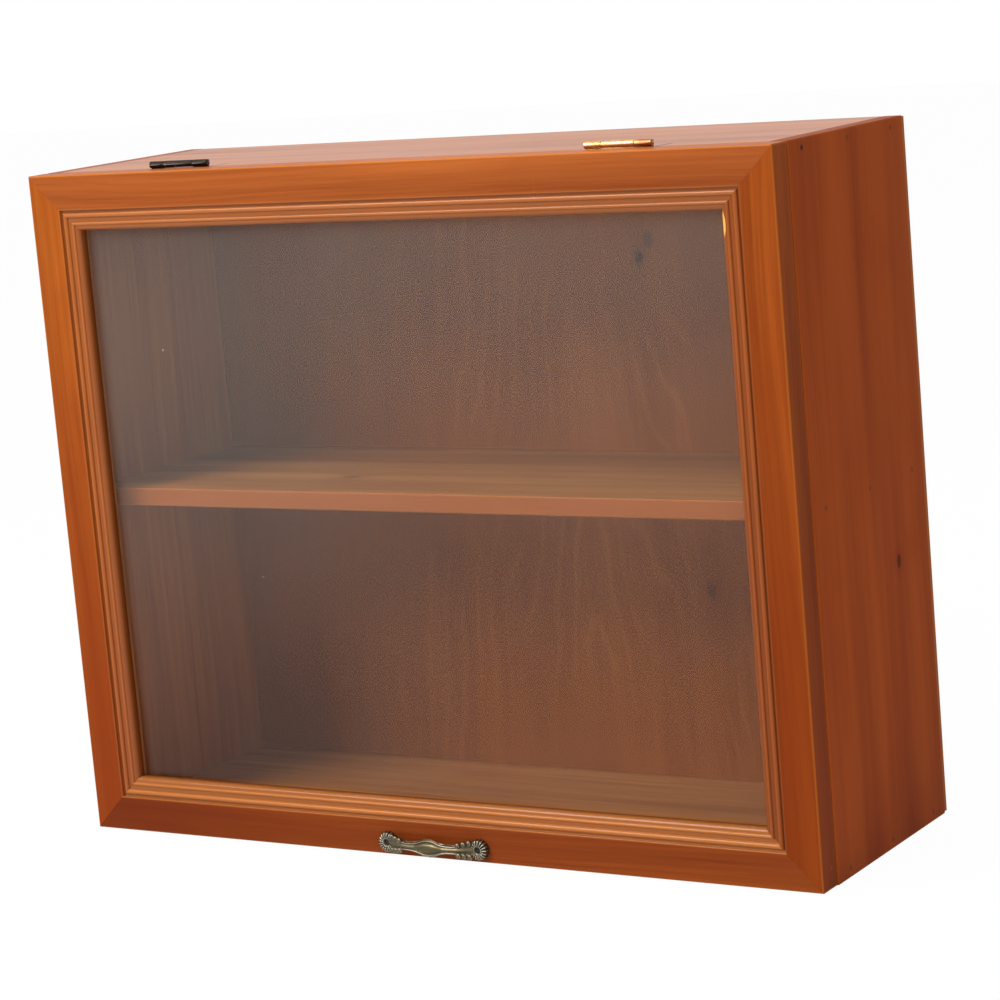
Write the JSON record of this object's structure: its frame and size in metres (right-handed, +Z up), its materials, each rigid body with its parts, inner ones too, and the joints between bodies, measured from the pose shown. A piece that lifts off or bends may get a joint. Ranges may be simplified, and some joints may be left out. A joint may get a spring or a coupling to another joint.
{
  "type": "display case",
  "caption": "Small stained-wood display case for a wall or counter, with a flip-up glazed door hinged at its top front edge, an inner shelf and an arched pull.",
  "frame": {"origin": "centre of the case's underside, midway across the side, top and bottom boards", "axes": "+X across the width, -Y out of the glazed front, +Z up"},
  "size_m": [0.43, 0.1524, 0.3538],
  "materials": {
    "stained_wood": "stained softwood under satin varnish",
    "inner_wood": "stained softwood, thinner varnish",
    "ply": "stained plywood",
    "glass": "clear float glass",
    "dark_bronze": "aged, nearly black brass",
    "bright_brass": "brass with worn patches",
    "antique_bronze": "antique bronze with rubbed high points",
    "steel": "plain steel wire"
  },
  "bodies": {
    "case": {"left_side": "stained_wood", "right_side": "stained_wood", "top_board": "stained_wood", "bottom_board": "inner_wood", "shelf": "inner_wood", "back_panel": "ply", "case_nails": "steel", "back_panel_pins": "steel", "left_hinge_case_leaf": "dark_bronze", "left_hinge_pin": "dark_bronze", "right_hinge_case_leaf": "bright_brass", "right_hinge_pin": "bright_brass", "case_hinge_screws": "steel"},
    "door": {"door_left_stile": "stained_wood", "door_right_stile": "stained_wood", "door_top_rail": "stained_wood", "door_bottom_rail": "stained_wood", "door_corner_pins": "steel", "glass_pane": "glass", "glazing_strip_left": "stained_wood", "glazing_strip_right": "stained_wood", "glazing_strip_top": "stained_wood", "glazing_strip_bottom": "stained_wood", "glazing_pins": "steel", "left_hinge_door_leaf": "dark_bronze", "right_hinge_door_leaf": "bright_brass", "door_hinge_screws": "steel", "pull_handle": "antique_bronze", "pull_pins": "steel"}
  },
  "joints": [
    {"name": "door_hinge", "type": "hinge", "parent": "case", "child": "door", "pos_m": [0, -0.063, 0.352], "axis": [-1, 0, 0], "range_deg": [0, 193]}
  ]
}
